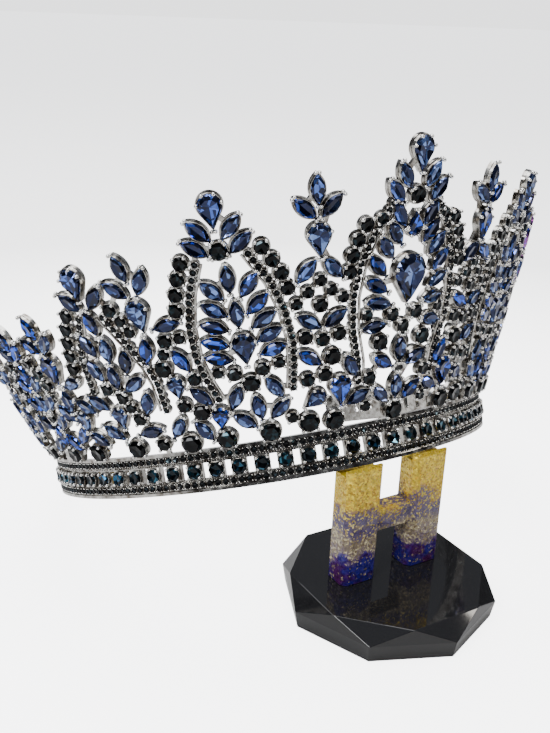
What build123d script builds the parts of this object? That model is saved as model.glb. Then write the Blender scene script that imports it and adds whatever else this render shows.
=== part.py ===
import os
from math import acos, atan2, cos, degrees, hypot, pi, radians, sin

from build123d import *

# Main sizes, in millimetres and degrees. The crown faces -Y and leans back on its stand.
band_radius = 74.0        # to the face on which the stones are centred
band_end_angle = 131.0    # half of the band's open circle
band_low = -5.8           # edges of the band, from its middle row
band_high = 6.1
band_sink = 0.9           # band face behind the stones
band_thick = 1.9
lip_out = 0.9
lip_thick = 0.9
window_pitch = 6.6
window_width = 2.0
window_height = 4.4

flare = 24.6              # outward slope of the openwork wall
wall_start = 4.0          # height at which the slope starts
seat_thick = 1.1
seat_margin = 0.35
seat_top = -0.9
stone_gap = 0.25
bar_width = 1.3
facet_step = 10.0         # the wall is made of flat facets, so that many degrees wide
row_pitch = 2.15
foot_rise = 6.5

tilt_back = 22.5
set_back = 28.2           # puts the middle of the whole thing over the origin

post_width = 12.2
post_depth = 9.2
post_spacing = 23.4
post_edge = 1.7
post_front = 2.8          # how far the posts stand out in front of the band
post_top = 46.7
step_top = 44.8           # step behind the posts' front lip, on which the band rests
step_gap = 0.3            # between the lip and the band
bar_low = 25.0
bar_high = 31.5
bar_depth = 6.0
base_thick = 10.0
base_forward = 2.5        # from the posts' middle to the base's
base_edge = 5.4           # height of the base's widest corners
top_radius = 29.7         # out to the corners of the base's top, widest part and foot
edge_radius = 32.4
foot_radius = 31.4

# Cut stones: width, length and height. A length equal to the width makes a round stone.
cuts = {
    "leaf": (4.0, 8.0, 1.5),
    "small_pear": (5.0, 7.0, 1.6),
    "pear": (6.4, 9.4, 1.9),
    "great_pear": (10.0, 14.0, 2.6),
    "dot": (3.4, 3.4, 1.2),
    "round": (4.1, 4.1, 1.4),
    "large_round": (4.9, 4.9, 1.6),
    "foot_round": (5.8, 5.8, 1.8),
    "seed": (1.9, 1.9, 0.8),
}

# Each table has a row for a stone: cut, x, rise, lean. The x runs along the wall towards the
# crown's front, the rise runs up the slope, and the lean turns the stone's head towards +x.
# In the centre arch, a stone off the middle has its twin on the other side.
centre_arch = (
    ("pear", 0, 77.0, 0), ("leaf", 4.4, 71.6, 29), ("leaf", 6.9, 67.6, 40),
    ("large_round", 0, 66.4, 0), ("leaf", 5.1, 61.4, 30), ("small_pear", 0, 58.8, 180),
    ("leaf", 5.9, 56.6, 35), ("leaf", 8.3, 52.9, 37), ("leaf", 10.4, 48.2, 38),
    ("leaf", 10.2, 42.7, 58), ("leaf", 9.0, 37.6, 78), ("great_pear", 0, 43.8, 0),
    ("dot", 10.4, 60.8, 0), ("round", 14.7, 59.6, 0), ("round", 16.7, 55.9, 0),
    ("round", 17.9, 51.8, 0), ("round", 18.4, 47.5, 0), ("dot", 12.0, 34.6, 0),
    ("round", 4.0, 33.8, 0), ("round", 0, 30.1, 0), ("leaf", 9.6, 31.0, -84),
    ("large_round", 7.2, 26.2, 0), ("leaf", 0, 23.4, 0), ("leaf", 5.6, 20.4, 60),
    ("round", 9.4, 16.0, 0), ("leaf", 0, 12.2, 0), ("leaf", 5.2, 10.4, 45),
    ("leaf", 12.4, 11.0, -64), ("dot", 9.7, 7.6, 0), ("foot_round", 0, 4.7, 0),
)
tall_spire = (
    ("leaf", 0.3, 70.2, 0), ("leaf", -3.2, 65.8, -44), ("leaf", 3.8, 65.8, 46),
    ("pear", 0.3, 57.2, 0), ("leaf", -3.4, 49.4, 43), ("leaf", 3.8, 49.4, -43),
    ("dot", 0.3, 46.4, 0), ("dot", -3.2, 43.6, 0), ("dot", 3.2, 43.4, 0),
    ("dot", 6.4, 41.0, 0), ("dot", -6.4, 40.8, 0), ("round", 0, 39.6, 0),
    ("leaf", -3.2, 35.4, -56), ("leaf", 3.9, 35.4, 56), ("round", -4.4, 31.0, 0),
    ("round", 0.3, 29.8, 0), ("round", 5.0, 30.8, 0), ("leaf", -3.4, 25.0, -52),
    ("large_round", 2.9, 24.4, 0), ("leaf", 8.3, 20.8, -24), ("round", 0.6, 19.4, 0),
    ("round", -4.2, 18.6, 0), ("pear", 4.9, 13.9, 0), ("small_pear", -2.4, 12.4, 57),
    ("dot", -8.8, 8.0, 0), ("foot_round", -4.2, 5.6, 0), ("foot_round", 3.0, 4.9, 0),
)
side_arch = (
    ("pear", -1.7, 68.6, 0), ("leaf", -5.8, 64.0, -42), ("leaf", 2.4, 64.0, 42),
    ("leaf", -7.4, 59.7, -52), ("leaf", 4.2, 59.7, 52), ("large_round", -1.6, 58.2, 0),
    ("round", -11.8, 56.6, 0), ("round", -13.4, 52.6, 0), ("round", -14.7, 48.5, 0),
    ("round", -15.5, 44.3, 0), ("round", 9.2, 57.6, 0), ("round", 11.4, 53.9, 0),
    ("round", 13.2, 50.0, 0), ("round", 14.2, 45.7, 0),
    ("leaf", -0.6, 50.6, 0), ("leaf", 4.4, 48.2, 40), ("leaf", -5.2, 48.0, -42),
    ("leaf", 0, 40.8, 0), ("leaf", -5.6, 42.7, -54), ("leaf", -6.4, 38.0, -66),
    ("leaf", -6.9, 33.4, -70), ("leaf", -6.8, 28.9, -74), ("leaf", 5.8, 42.8, 50),
    ("leaf", 6.8, 38.2, 60), ("leaf", 7.6, 33.8, 66), ("leaf", 8.0, 29.4, 74),
    ("pear", 0.4, 30.6, 0), ("dot", -7.7, 24.9, 0), ("round", -3.4, 23.8, 0),
    ("round", 4.2, 24.2, 0), ("dot", 8.9, 25.2, 0), ("large_round", 0.6, 20.4, 0),
    ("leaf", 6.6, 18.2, -28), ("leaf", -4.2, 16.8, 26), ("leaf", 1.4, 12.9, -6),
    ("leaf", 7.2, 11.6, 46), ("leaf", -2.9, 9.4, -50), ("small_pear", -9.3, 11.3, 8),
    ("foot_round", -8.8, 4.6, 0), ("foot_round", 3.4, 4.7, 0),
)
low_spire = (
    ("leaf", 0, 58.2, -10), ("leaf", 4.2, 53.8, 24), ("leaf", -3.4, 52.8, -46),
    ("pear", 0.6, 44.6, 0), ("leaf", -0.9, 34.6, 14), ("leaf", 7.2, 40.8, 83),
    ("round", 5.2, 36.4, 0), ("dot", 9.3, 36.6, 0), ("dot", 3.6, 32.6, 0),
    ("large_round", 2.1, 28.4, 0), ("leaf", 7.7, 30.2, -25), ("round", 9.6, 24.2, 0),
    ("small_pear", 4.0, 22.4, 0), ("leaf", 9.8, 18.8, -41), ("round", 4.3, 16.6, 0),
    ("large_round", 8.5, 13.9, 0), ("leaf", 0.6, 10.2, 39), ("leaf", 7.4, 8.2, -30),
    ("foot_round", 2.6, 4.6, 0),
)
low_arch = (
    ("pear", 0, 56.6, 0), ("leaf", -3.9, 51.8, -40), ("leaf", 3.9, 51.8, 40),
    ("round", -7.1, 48.2, 0), ("round", -9.2, 44.6, 0), ("round", -10.8, 40.7, 0),
    ("round", -12.0, 36.7, 0), ("round", -13.1, 32.7, 0), ("round", 6.9, 47.6, 0),
    ("dot", 8.6, 44.1, 0), ("dot", 9.9, 40.6, 0), ("leaf", 0, 45.0, -4),
    ("leaf", -4.2, 38.8, -16), ("leaf", -5.6, 31.2, -16), ("leaf", 0.9, 36.6, 4),
    ("leaf", 4.9, 32.4, 12), ("leaf", -0.4, 28.4, 4), ("leaf", 4.6, 25.4, 60),
    ("round", -4.6, 25.0, 0), ("round", -0.7, 21.8, 0), ("dot", 0.7, 18.3, 0),
    ("leaf", 6.0, 19.0, 19), ("small_pear", -4.2, 15.8, 0), ("leaf", -9.4, 21.2, -45),
    ("round", 1.8, 14.4, 0), ("leaf", -8.8, 11.2, -46), ("leaf", 3.6, 9.9, 84),
    ("foot_round", -3.6, 5.0, 0), ("round", 5.4, 5.4, 0),
)
side_spire = (
    ("leaf", 0, 47.0, -8), ("leaf", -3.4, 41.8, -44), ("leaf", 3.4, 41.8, 40),
    ("pear", 0, 33.6, 0), ("leaf", 5.2, 28.4, 80), ("leaf", -0.7, 23.2, 6),
    ("leaf", 5.9, 20.6, -50), ("leaf", -3.8, 19.2, -32),
    ("small_pear", 1.9, 16.0, 0), ("leaf", 3.9, 9.6, -50), ("leaf", -2.6, 11.2, 40),
    ("foot_round", -0.6, 4.8, 0),
)
rear_arch = (
    ("leaf", 0, 45.4, 0), ("leaf", 3.4, 41.0, 42), ("leaf", -3.4, 41.0, -42),
    ("round", -6.2, 36.8, 0), ("round", -7.9, 33.0, 0), ("round", -9.1, 29.0, 0),
    ("round", -9.9, 24.9, 0), ("round", 6.2, 36.8, 0), ("round", 7.9, 33.0, 0),
    ("round", 9.1, 29.0, 0), ("leaf", 0, 33.6, 0), ("leaf", -3.4, 30.2, -34),
    ("leaf", 3.4, 30.2, 34), ("leaf", 0, 23.8, 0), ("leaf", -4.7, 23.4, -46),
    ("leaf", 4.7, 23.4, 46), ("dot", 0, 17.9, 0), ("leaf", -5.1, 16.6, -44),
    ("leaf", 5.1, 16.6, 44), ("leaf", 0, 12.0, 0), ("leaf", -5.3, 9.0, 42),
    ("leaf", 5.3, 9.0, -42), ("foot_round", 0, 4.8, 0),
)
rear_spire = (
    ("leaf", 0, 38.6, 0), ("leaf", -3.4, 34.0, -44), ("leaf", 3.4, 34.0, 44),
    ("small_pear", 0, 27.0, 0), ("leaf", 0, 19.2, 0), ("leaf", -4.6, 15.4, -46),
    ("leaf", 4.6, 15.4, 46), ("dot", 0, 11.4, 0), ("foot_round", 0, 5.4, 0),
)
end_leaf = (
    ("leaf", 0, 21.6, 0), ("leaf", -3.4, 17.0, -44), ("leaf", 3.4, 17.0, 44),
    ("small_pear", 0, 10.4, 0), ("dot", 0, 4.9, 0),
)

# Motifs on the wall: name, table, angle from the front.
motifs = (
    ("centre_arch", centre_arch, 0.0),
    ("tall_spire", tall_spire, 16.4),
    ("side_arch", side_arch, 30.4),
    ("low_spire", low_spire, 46.7),
    ("low_arch", low_arch, 55.2),
    ("side_spire", side_spire, 69.5),
    ("rear_arch", rear_arch, 79.3),
    ("rear_spire", rear_spire, 92.0),
    ("end_leaf", end_leaf, 104.0),
)

# Rows of seed stones up each arch: angle of the arch, then x and rise along one leg.
legs = (
    (0.0, ((7.6, 64.6), (12.4, 57.0), (15.4, 49.0), (16.6, 40.0), (15.8, 31.0), (13.4, 22.0),
           (12.6, 15.5))),
    (30.4, ((-8.2, 55.6), (-11.3, 47.4), (-12.9, 39.0), (-12.8, 30.0), (-11.0, 22.6),
            (-8.9, 17.0))),
    (30.4, ((5.6, 56.4), (10.2, 47.8), (12.6, 39.6), (13.5, 31.0), (12.8, 24.0), (11.6, 17.0))),
    (55.2, ((-3.6, 46.6), (-6.6, 39.7), (-8.7, 35.0), (-9.6, 29.0), (-10.0, 25.0))),
    (55.2, ((4.0, 46.0), (7.6, 37.6), (10.6, 29.8), (11.4, 24.0), (10.6, 16.0))),
    (79.3, ((-3.6, 37.0), (-6.2, 30.0), (-7.6, 25.0), (-8.6, 17.0))),
    (79.3, ((3.6, 37.0), (6.2, 30.0), (7.6, 25.0), (8.6, 17.0))),
)

# Height of the band's centre that puts the two ends of the band on the floor.
lip_radius = band_radius - band_sink + lip_out
lift = -lip_radius * cos(radians(band_end_angle)) * sin(radians(tilt_back)) \
    - band_low * cos(radians(tilt_back))
crown_frame = Location((0, set_back, lift), (-tilt_back, 0, 0))


def wall_radius(rise):
    return band_radius + rise * sin(radians(flare))


# Middle angle of the flat facet of the wall that holds an angle.
def facet_angle(angle):
    return round(angle / facet_step) * facet_step


# Place at the foot of a facet: the local z points out of the wall, the local y up the slope.
def facet_place(middle):
    foot = Location((0, 0, wall_start), (0, 0, middle)) * Location((0, -band_radius, 0))
    return crown_frame * foot * Location((0, 0, 0), (90 + flare, 0, 0))


# Place of a stone or a seat within its facet.
def flat_place(angle, rise, lean, out=0.0):
    across = wall_radius(rise) * radians(angle - facet_angle(angle))
    return Location((across, rise, out), (0, 0, -lean))


def angle_at(motif_angle, side, x, rise):
    return side * (motif_angle - degrees(x / wall_radius(rise)))


# Every stone on the wall, as its name, cut, angle, rise and lean.
def all_stones():
    for motif, table, motif_angle in motifs:
        for row, (cut, x, rise, lean) in enumerate(table):
            number = 1 + sum(1 for earlier in table[:row] if earlier[0] == cut)
            for side, word in ((-1, "left"), (1, "right")):
                middle = motif_angle == 0 and x == 0
                if middle and side == 1:
                    continue
                name = f"{motif}_{'middle' if middle else word}_{cut}_{number}"
                yield name, cut, angle_at(motif_angle, side, x, rise), rise, side * -lean


# Outline of a stone with its head at +y, grown by a margin.
def outline(cut, margin):
    width, length, _ = cuts[cut]
    half_width, half_length = width / 2 + margin, length / 2 + margin
    with BuildSketch() as shape:
        if width == length:
            Circle(half_width)
        elif cut == "leaf":
            with BuildLine():
                ThreePointArc((0, -half_length), (half_width, 0), (0, half_length))
                ThreePointArc((0, half_length), (-half_width, 0), (0, -half_length))
            make_face()
        else:
            head = half_length - half_width
            turn = acos(half_width / (head + half_length))
            side_x, side_y = half_width * sin(turn), head - half_width * cos(turn)
            with BuildLine():
                Polyline((-side_x, side_y), (0, -half_length), (side_x, side_y))
                ThreePointArc((side_x, side_y), (0, half_length), (-side_x, side_y))
            make_face()
    return shape.sketch


# Corners of a stone's girdle, with its head at +y.
def girdle(cut):
    width, length, _ = cuts[cut]
    half_width, half_length = width / 2, length / 2
    if width == length:
        return [(half_width * cos(turn * pi / 4), half_width * sin(turn * pi / 4)) for turn in range(8)]
    if cut == "leaf":
        heights = [half_length * share for share in (-1, -0.6, -0.2, 0.2, 0.6)]
        right = [(half_width * (1 - (y / half_length) ** 2), y) for y in heights]
        return right + [(-x, -y) for x, y in right]
    head = half_length - half_width
    turns = [radians(turn) for turn in (-24, 12, 51, 90, 129, 168, 204)]
    return [(0, -half_length)] + [(half_width * cos(turn), head + half_width * sin(turn)) for turn in turns]


# A cut stone: slanting facets from the girdle up to a flat table.
def cut_stone(cut):
    corners = girdle(cut)
    with BuildPart() as stone:
        for height, share in ((0, 1), (cuts[cut][2], 0.55)):
            with BuildSketch(Plane.XY.offset(height)):
                Polygon(*[(x * share, y * share) for x, y in corners], align=None)
        loft(ruled=True)
    return stone.part


# How far a seat reaches for sure from its middle, in a direction turned from straight up the slope.
def reach(cut, lean, direction):
    if cut == "band":
        return 0
    half_width, half_length = cuts[cut][0] / 2 + seat_margin, cuts[cut][1] / 2 + seat_margin
    if half_width == half_length:
        return 0.8 * half_width
    turn = radians(direction - lean)
    return 0.6 / hypot(sin(turn) / half_width, cos(turn) / half_length)


# Bar that closes the gap between two seats, as angle, rise, lean and length, or nothing.
def bar_between(one, other):
    (cut_a, angle_a, rise_a, lean_a), (cut_b, angle_b, rise_b, lean_b) = one, other
    across = radians(angle_b - angle_a) * wall_radius((rise_a + rise_b) / 2)
    gap = hypot(across, rise_b - rise_a)
    direction = degrees(atan2(across, rise_b - rise_a))
    begin, finish = reach(cut_a, lean_a, direction), gap - reach(cut_b, lean_b, direction)
    if finish <= begin:
        return None
    share = (begin + finish) / 2 / gap
    return (angle_a + share * (angle_b - angle_a), rise_a + share * (rise_b - rise_a), direction,
            finish - begin)


# The shortest set of bars that joins all the seats, starting from those nearest the band.
def joining_bars(seats):
    def distance(one, other):
        return hypot(radians(one[1] - other[1]) * wall_radius(one[2]), one[2] - other[2])

    joined = [one for one in seats if one[2] < foot_rise]
    pairs = [(("band", angle, 0.8, 0), (cut, angle, rise, lean)) for cut, angle, rise, lean in joined]
    nearest = {one: min(joined, key=lambda other: distance(one, other))
               for one in seats if one[2] >= foot_rise}
    while nearest:
        one = min(nearest, key=lambda other: distance(other, nearest[other]))
        pairs.append((nearest.pop(one), one))
        for other in nearest:
            if distance(other, one) < distance(other, nearest[other]):
                nearest[other] = one
    return [bar for bar in (bar_between(*pair) for pair in pairs) if bar]


# Seats of one row of seed stones, evenly spaced along a leg of an arch.
def row_seats(arch_angle, side, leg):
    with BuildLine():
        path = Polyline(*leg)
    count = round(path.length / row_pitch)
    for number in range(count + 1):
        point = path @ (number / count)
        yield "seed", angle_at(arch_angle, side, point.X, point.Y), point.Y, 0


stones = list(all_stones())
rows = [one for arch_angle, leg in legs for side in (-1, 1) for one in row_seats(arch_angle, side, leg)]
seats = [(cut, angle, rise, lean) for _, cut, angle, rise, lean in stones] + rows
bars = joining_bars(seats)
outlines = {cut: outline(cut, seat_margin) for cut in cuts}

# The band, an open circle with two lips, cut through between its stones.
with BuildPart() as band:
    face = band_radius - band_sink
    with BuildSketch(Plane.XZ):
        with Locations((face - band_thick, band_low)):
            Rectangle(band_thick, band_high - band_low, align=Align.MIN)
        with Locations((face - band_thick / 2, band_low), (face - band_thick / 2, band_high - lip_thick)):
            Rectangle(band_thick / 2 + lip_out, lip_thick, align=Align.MIN)
    revolve(axis=Axis.Z, revolution_arc=2 * band_end_angle)
    step = degrees(window_pitch / band_radius)
    window_count = 2 * int((band_end_angle - 4) / step)
    first = band_end_angle - step * (window_count - 1) / 2
    spread = step * (window_count - 1)
    with PolarLocations(face - band_thick / 2, window_count, first, spread, endpoint=True):
        Box(3 * band_thick, window_width, window_height, mode=Mode.SUBTRACT)

# All soldered metal: the band, and the seats and bars of each facet of the wall.
with BuildPart() as metal_frame:
    with Locations(crown_frame * Location((0, 0, 0), (0, 0, 270 - band_end_angle))):
        add(band.part)
    for middle in sorted({facet_angle(one[1]) for one in seats}):
        with BuildSketch(Plane(facet_place(middle) * Location((0, 0, seat_top - seat_thick)))):
            for cut, angle, rise, lean in seats:
                if facet_angle(angle) == middle:
                    with Locations(flat_place(angle, rise, lean)):
                        add(outlines[cut])
            for angle, rise, lean, length in bars:
                if facet_angle(angle) == middle:
                    with Locations(flat_place(angle, rise, lean)):
                        Rectangle(bar_width, length)
    extrude(amount=seat_thick)
print("metal solids", len(metal_frame.part.solids()), "volume", round(metal_frame.part.volume))


def stone_place(angle, rise, lean):
    return facet_place(facet_angle(angle)) * flat_place(angle, rise, lean, seat_top + stone_gap)


# Fields of stones, each of one cut. The rounds and seed stones up to 5 mm are too fine to be solids.
with BuildPart() as leaf_stones:
    with Locations(*[stone_place(*one[2:]) for one in stones if one[1] == "leaf"]):
        add(cut_stone("leaf"))
with BuildPart() as small_pear_stones:
    with Locations(*[stone_place(*one[2:]) for one in stones if one[1] == "small_pear"]):
        add(cut_stone("small_pear"))
with BuildPart() as foot_stones:
    with Locations(*[stone_place(*one[2:]) for one in stones if one[1] == "foot_round"]):
        add(cut_stone("foot_round"))

# The stand: two posts joined by a crossbar, each with a step for the band behind a front lip.
front_edge = set_back - lip_radius * cos(radians(tilt_back)) + band_low * sin(radians(tilt_back))
post_middle = front_edge - post_front + post_depth / 2
posts = ((-post_spacing / 2, post_middle), (post_spacing / 2, post_middle))
with BuildPart() as stand_posts:
    with BuildSketch(Plane.XY.offset(base_thick + 0.1)):
        with Locations(*posts):
            Rectangle(post_width, post_depth)
    extrude(amount=post_top - base_thick - 0.1)
    chamfer(stand_posts.edges().filter_by(Axis.Z), length=post_edge)
    with Locations((0, front_edge - step_gap, step_top)):
        Box(2 * post_spacing, post_depth, post_top, align=(Align.CENTER, Align.MIN, Align.MIN),
            mode=Mode.SUBTRACT)
    with Locations((0, post_middle, (bar_low + bar_high) / 2)):
        Box(post_spacing, bar_depth, bar_high - bar_low)


# Slope, in degrees, of facets that go in by so much over a height.
def slope(inward, height):
    return degrees(atan2(inward, height))


# The base: eight sides that lean out from the foot to a widest edge, then triangles up to the top.
half_turn = 22.5
flat_share = cos(radians(half_turn))
base_middle = (0, post_middle - base_forward)
rise_to_top = base_thick - base_edge
with BuildPart() as stand_base:
    with BuildSketch(Plane.XY.offset(base_edge)):
        with Locations(base_middle):
            RegularPolygon(edge_radius, 8)
    extrude(amount=rise_to_top, taper=slope(edge_radius * flat_share - top_radius, rise_to_top))
    with BuildSketch(Plane.XY.offset(base_edge)):
        with Locations(base_middle):
            RegularPolygon(edge_radius / flat_share, 8, rotation=half_turn)
    extrude(amount=rise_to_top, taper=slope(edge_radius - top_radius * flat_share, rise_to_top),
            mode=Mode.INTERSECT)
    for height, radius in ((0, foot_radius), (base_edge, edge_radius)):
        with BuildSketch(Plane.XY.offset(height)):
            with Locations(base_middle):
                RegularPolygon(radius, 8)
    loft(ruled=True)

nodes = {
    "metal_frame": metal_frame.part,
    "leaf_stones": leaf_stones.part,
    "small_pear_stones": small_pear_stones.part,
    "foot_stones": foot_stones.part,
    "stand_posts": stand_posts.part,
    "stand_base": stand_base.part,
}
for name, cut, angle, rise, lean in stones:
    if cut in ("pear", "great_pear"):
        nodes[name] = cut_stone(cut).moved(stone_place(angle, rise, lean))

os.makedirs("parts", exist_ok=True)
for name, part in nodes.items():
    part.label = name
    export_step(part, f"parts/{name}.step")
    box = part.bounding_box()
    print(name, len(part.solids()), [round(v, 1) for v in (*box.min, *box.max)])
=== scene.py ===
import random
from math import acos, cos, degrees, pi, radians, sin

import bpy
import bmesh
from mathutils import Matrix, Vector


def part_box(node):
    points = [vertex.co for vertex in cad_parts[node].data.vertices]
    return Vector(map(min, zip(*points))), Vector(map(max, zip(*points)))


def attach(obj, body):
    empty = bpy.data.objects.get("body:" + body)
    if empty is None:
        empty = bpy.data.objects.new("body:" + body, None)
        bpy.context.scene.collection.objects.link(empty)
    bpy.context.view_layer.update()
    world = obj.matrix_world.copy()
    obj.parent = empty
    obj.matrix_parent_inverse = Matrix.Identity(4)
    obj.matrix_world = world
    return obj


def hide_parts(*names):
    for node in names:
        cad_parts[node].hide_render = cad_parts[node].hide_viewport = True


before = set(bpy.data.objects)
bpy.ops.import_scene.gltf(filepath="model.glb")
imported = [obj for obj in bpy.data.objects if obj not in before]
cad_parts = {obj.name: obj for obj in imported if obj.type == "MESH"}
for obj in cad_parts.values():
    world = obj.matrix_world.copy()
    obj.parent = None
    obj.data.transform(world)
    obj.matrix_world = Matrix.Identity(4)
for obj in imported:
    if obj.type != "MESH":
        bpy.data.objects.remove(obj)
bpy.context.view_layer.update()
print("frame loaded")

# The crown in millimetres and degrees. It faces -Y and leans back on its stand.
crown = {
    "bandRadius": 74.0,    # to the face on which the stones are centred
    "bandEnd": 126.6,      # half of the arc that holds the band's stones
    "flare": 24.6,
    "wallStart": 4.0,
    "facetStep": 10.0,
    "tiltBack": 22.5,
    "lift": 23.94,
    "setBack": 28.2,
    "seatTop": -0.9,
    "stoneGap": 0.25,
}
toMetres = Matrix.Scale(0.001, 4)
crownFrame = Matrix.Translation((0, crown["setBack"], crown["lift"])) @ Matrix.Rotation(
    radians(-crown["tiltBack"]), 4, "X")

# Cut stones: width, length, height and number of corners. Equal width and length make a round one.
cuts = {
    "leaf": (4.0, 8.0, 1.5, 12),
    "smallPear": (5.0, 7.0, 1.6, 12),
    "pear": (6.4, 9.4, 1.9, 14),
    "greatPear": (10.0, 14.0, 2.6, 16),
    "dot": (3.4, 3.4, 1.2, 10),
    "round": (4.1, 4.1, 1.4, 10),
    "largeRound": (4.9, 4.9, 1.6, 12),
    "footRound": (5.8, 5.8, 1.8, 12),
    "bandRound": (4.3, 4.3, 1.5, 10),
    "seed": (1.9, 1.9, 0.8, 8),
}

# Each table has a row for a stone: cut, x, rise, lean. The x runs along the wall towards the
# crown's front, the rise runs up the slope, and the lean turns the stone's head towards +x.
# In the centre arch, a stone off the middle has its twin on the other side.
centreArch = (
    ("pear", 0, 77.0, 0), ("leaf", 4.4, 71.6, 29), ("leaf", 6.9, 67.6, 40),
    ("largeRound", 0, 66.4, 0), ("leaf", 5.1, 61.4, 30), ("smallPear", 0, 58.8, 180),
    ("leaf", 5.9, 56.6, 35), ("leaf", 8.3, 52.9, 37), ("leaf", 10.4, 48.2, 38),
    ("leaf", 10.2, 42.7, 58), ("leaf", 9.0, 37.6, 78), ("greatPear", 0, 43.8, 0),
    ("dot", 10.4, 60.8, 0), ("round", 14.7, 59.6, 0), ("round", 16.7, 55.9, 0),
    ("round", 17.9, 51.8, 0), ("round", 18.4, 47.5, 0), ("dot", 12.0, 34.6, 0),
    ("round", 4.0, 33.8, 0), ("round", 0, 30.1, 0), ("leaf", 9.6, 31.0, -84),
    ("largeRound", 7.2, 26.2, 0), ("leaf", 0, 23.4, 0), ("leaf", 5.6, 20.4, 60),
    ("round", 9.4, 16.0, 0), ("leaf", 0, 12.2, 0), ("leaf", 5.2, 10.4, 45),
    ("leaf", 12.4, 11.0, -64), ("dot", 9.7, 7.6, 0), ("footRound", 0, 4.7, 0),
)
tallSpire = (
    ("leaf", 0.3, 70.2, 0), ("leaf", -3.2, 65.8, -44), ("leaf", 3.8, 65.8, 46),
    ("pear", 0.3, 57.2, 0), ("leaf", -3.4, 49.4, 43), ("leaf", 3.8, 49.4, -43),
    ("dot", 0.3, 46.4, 0), ("dot", -3.2, 43.6, 0), ("dot", 3.2, 43.4, 0),
    ("dot", 6.4, 41.0, 0), ("dot", -6.4, 40.8, 0), ("round", 0, 39.6, 0),
    ("leaf", -3.2, 35.4, -56), ("leaf", 3.9, 35.4, 56), ("round", -4.4, 31.0, 0),
    ("round", 0.3, 29.8, 0), ("round", 5.0, 30.8, 0), ("leaf", -3.4, 25.0, -52),
    ("largeRound", 2.9, 24.4, 0), ("leaf", 8.3, 20.8, -24), ("round", 0.6, 19.4, 0),
    ("round", -4.2, 18.6, 0), ("pear", 4.9, 13.9, 0), ("smallPear", -2.4, 12.4, 57),
    ("dot", -8.8, 8.0, 0), ("footRound", -4.2, 5.6, 0), ("footRound", 3.0, 4.9, 0),
)
sideArch = (
    ("pear", -1.7, 68.6, 0), ("leaf", -5.8, 64.0, -42), ("leaf", 2.4, 64.0, 42),
    ("leaf", -7.4, 59.7, -52), ("leaf", 4.2, 59.7, 52), ("largeRound", -1.6, 58.2, 0),
    ("round", -11.8, 56.6, 0), ("round", -13.4, 52.6, 0), ("round", -14.7, 48.5, 0),
    ("round", -15.5, 44.3, 0), ("round", 9.2, 57.6, 0), ("round", 11.4, 53.9, 0),
    ("round", 13.2, 50.0, 0), ("round", 14.2, 45.7, 0),
    ("leaf", -0.6, 50.6, 0), ("leaf", 4.4, 48.2, 40), ("leaf", -5.2, 48.0, -42),
    ("leaf", 0, 40.8, 0), ("leaf", -5.6, 42.7, -54), ("leaf", -6.4, 38.0, -66),
    ("leaf", -6.9, 33.4, -70), ("leaf", -6.8, 28.9, -74), ("leaf", 5.8, 42.8, 50),
    ("leaf", 6.8, 38.2, 60), ("leaf", 7.6, 33.8, 66), ("leaf", 8.0, 29.4, 74),
    ("pear", 0.4, 30.6, 0), ("dot", -7.7, 24.9, 0), ("round", -3.4, 23.8, 0),
    ("round", 4.2, 24.2, 0), ("dot", 8.9, 25.2, 0), ("largeRound", 0.6, 20.4, 0),
    ("leaf", 6.6, 18.2, -28), ("leaf", -4.2, 16.8, 26), ("leaf", 1.4, 12.9, -6),
    ("leaf", 7.2, 11.6, 46), ("leaf", -2.9, 9.4, -50), ("smallPear", -9.3, 11.3, 8),
    ("footRound", -8.8, 4.6, 0), ("footRound", 3.4, 4.7, 0),
)
lowSpire = (
    ("leaf", 0, 58.2, -10), ("leaf", 4.2, 53.8, 24), ("leaf", -3.4, 52.8, -46),
    ("pear", 0.6, 44.6, 0), ("leaf", -0.9, 34.6, 14), ("leaf", 7.2, 40.8, 83),
    ("round", 5.2, 36.4, 0), ("dot", 9.3, 36.6, 0), ("dot", 3.6, 32.6, 0),
    ("largeRound", 2.1, 28.4, 0), ("leaf", 7.7, 30.2, -25), ("round", 9.6, 24.2, 0),
    ("smallPear", 4.0, 22.4, 0), ("leaf", 9.8, 18.8, -41), ("round", 4.3, 16.6, 0),
    ("largeRound", 8.5, 13.9, 0), ("leaf", 0.6, 10.2, 39), ("leaf", 7.4, 8.2, -30),
    ("footRound", 2.6, 4.6, 0),
)
lowArch = (
    ("pear", 0, 56.6, 0), ("leaf", -3.9, 51.8, -40), ("leaf", 3.9, 51.8, 40),
    ("round", -7.1, 48.2, 0), ("round", -9.2, 44.6, 0), ("round", -10.8, 40.7, 0),
    ("round", -12.0, 36.7, 0), ("round", -13.1, 32.7, 0), ("round", 6.9, 47.6, 0),
    ("dot", 8.6, 44.1, 0), ("dot", 9.9, 40.6, 0), ("leaf", 0, 45.0, -4),
    ("leaf", -4.2, 38.8, -16), ("leaf", -5.6, 31.2, -16), ("leaf", 0.9, 36.6, 4),
    ("leaf", 4.9, 32.4, 12), ("leaf", -0.4, 28.4, 4), ("leaf", 4.6, 25.4, 60),
    ("round", -4.6, 25.0, 0), ("round", -0.7, 21.8, 0), ("dot", 0.7, 18.3, 0),
    ("leaf", 6.0, 19.0, 19), ("smallPear", -4.2, 15.8, 0), ("leaf", -9.4, 21.2, -45),
    ("round", 1.8, 14.4, 0), ("leaf", -8.8, 11.2, -46), ("leaf", 3.6, 9.9, 84),
    ("footRound", -3.6, 5.0, 0), ("round", 5.4, 5.4, 0),
)
sideSpire = (
    ("leaf", 0, 47.0, -8), ("leaf", -3.4, 41.8, -44), ("leaf", 3.4, 41.8, 40),
    ("pear", 0, 33.6, 0), ("leaf", 5.2, 28.4, 80), ("leaf", -0.7, 23.2, 6),
    ("leaf", 5.9, 20.6, -50), ("leaf", -3.8, 19.2, -32),
    ("smallPear", 1.9, 16.0, 0), ("leaf", 3.9, 9.6, -50), ("leaf", -2.6, 11.2, 40),
    ("footRound", -0.6, 4.8, 0),
)
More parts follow.
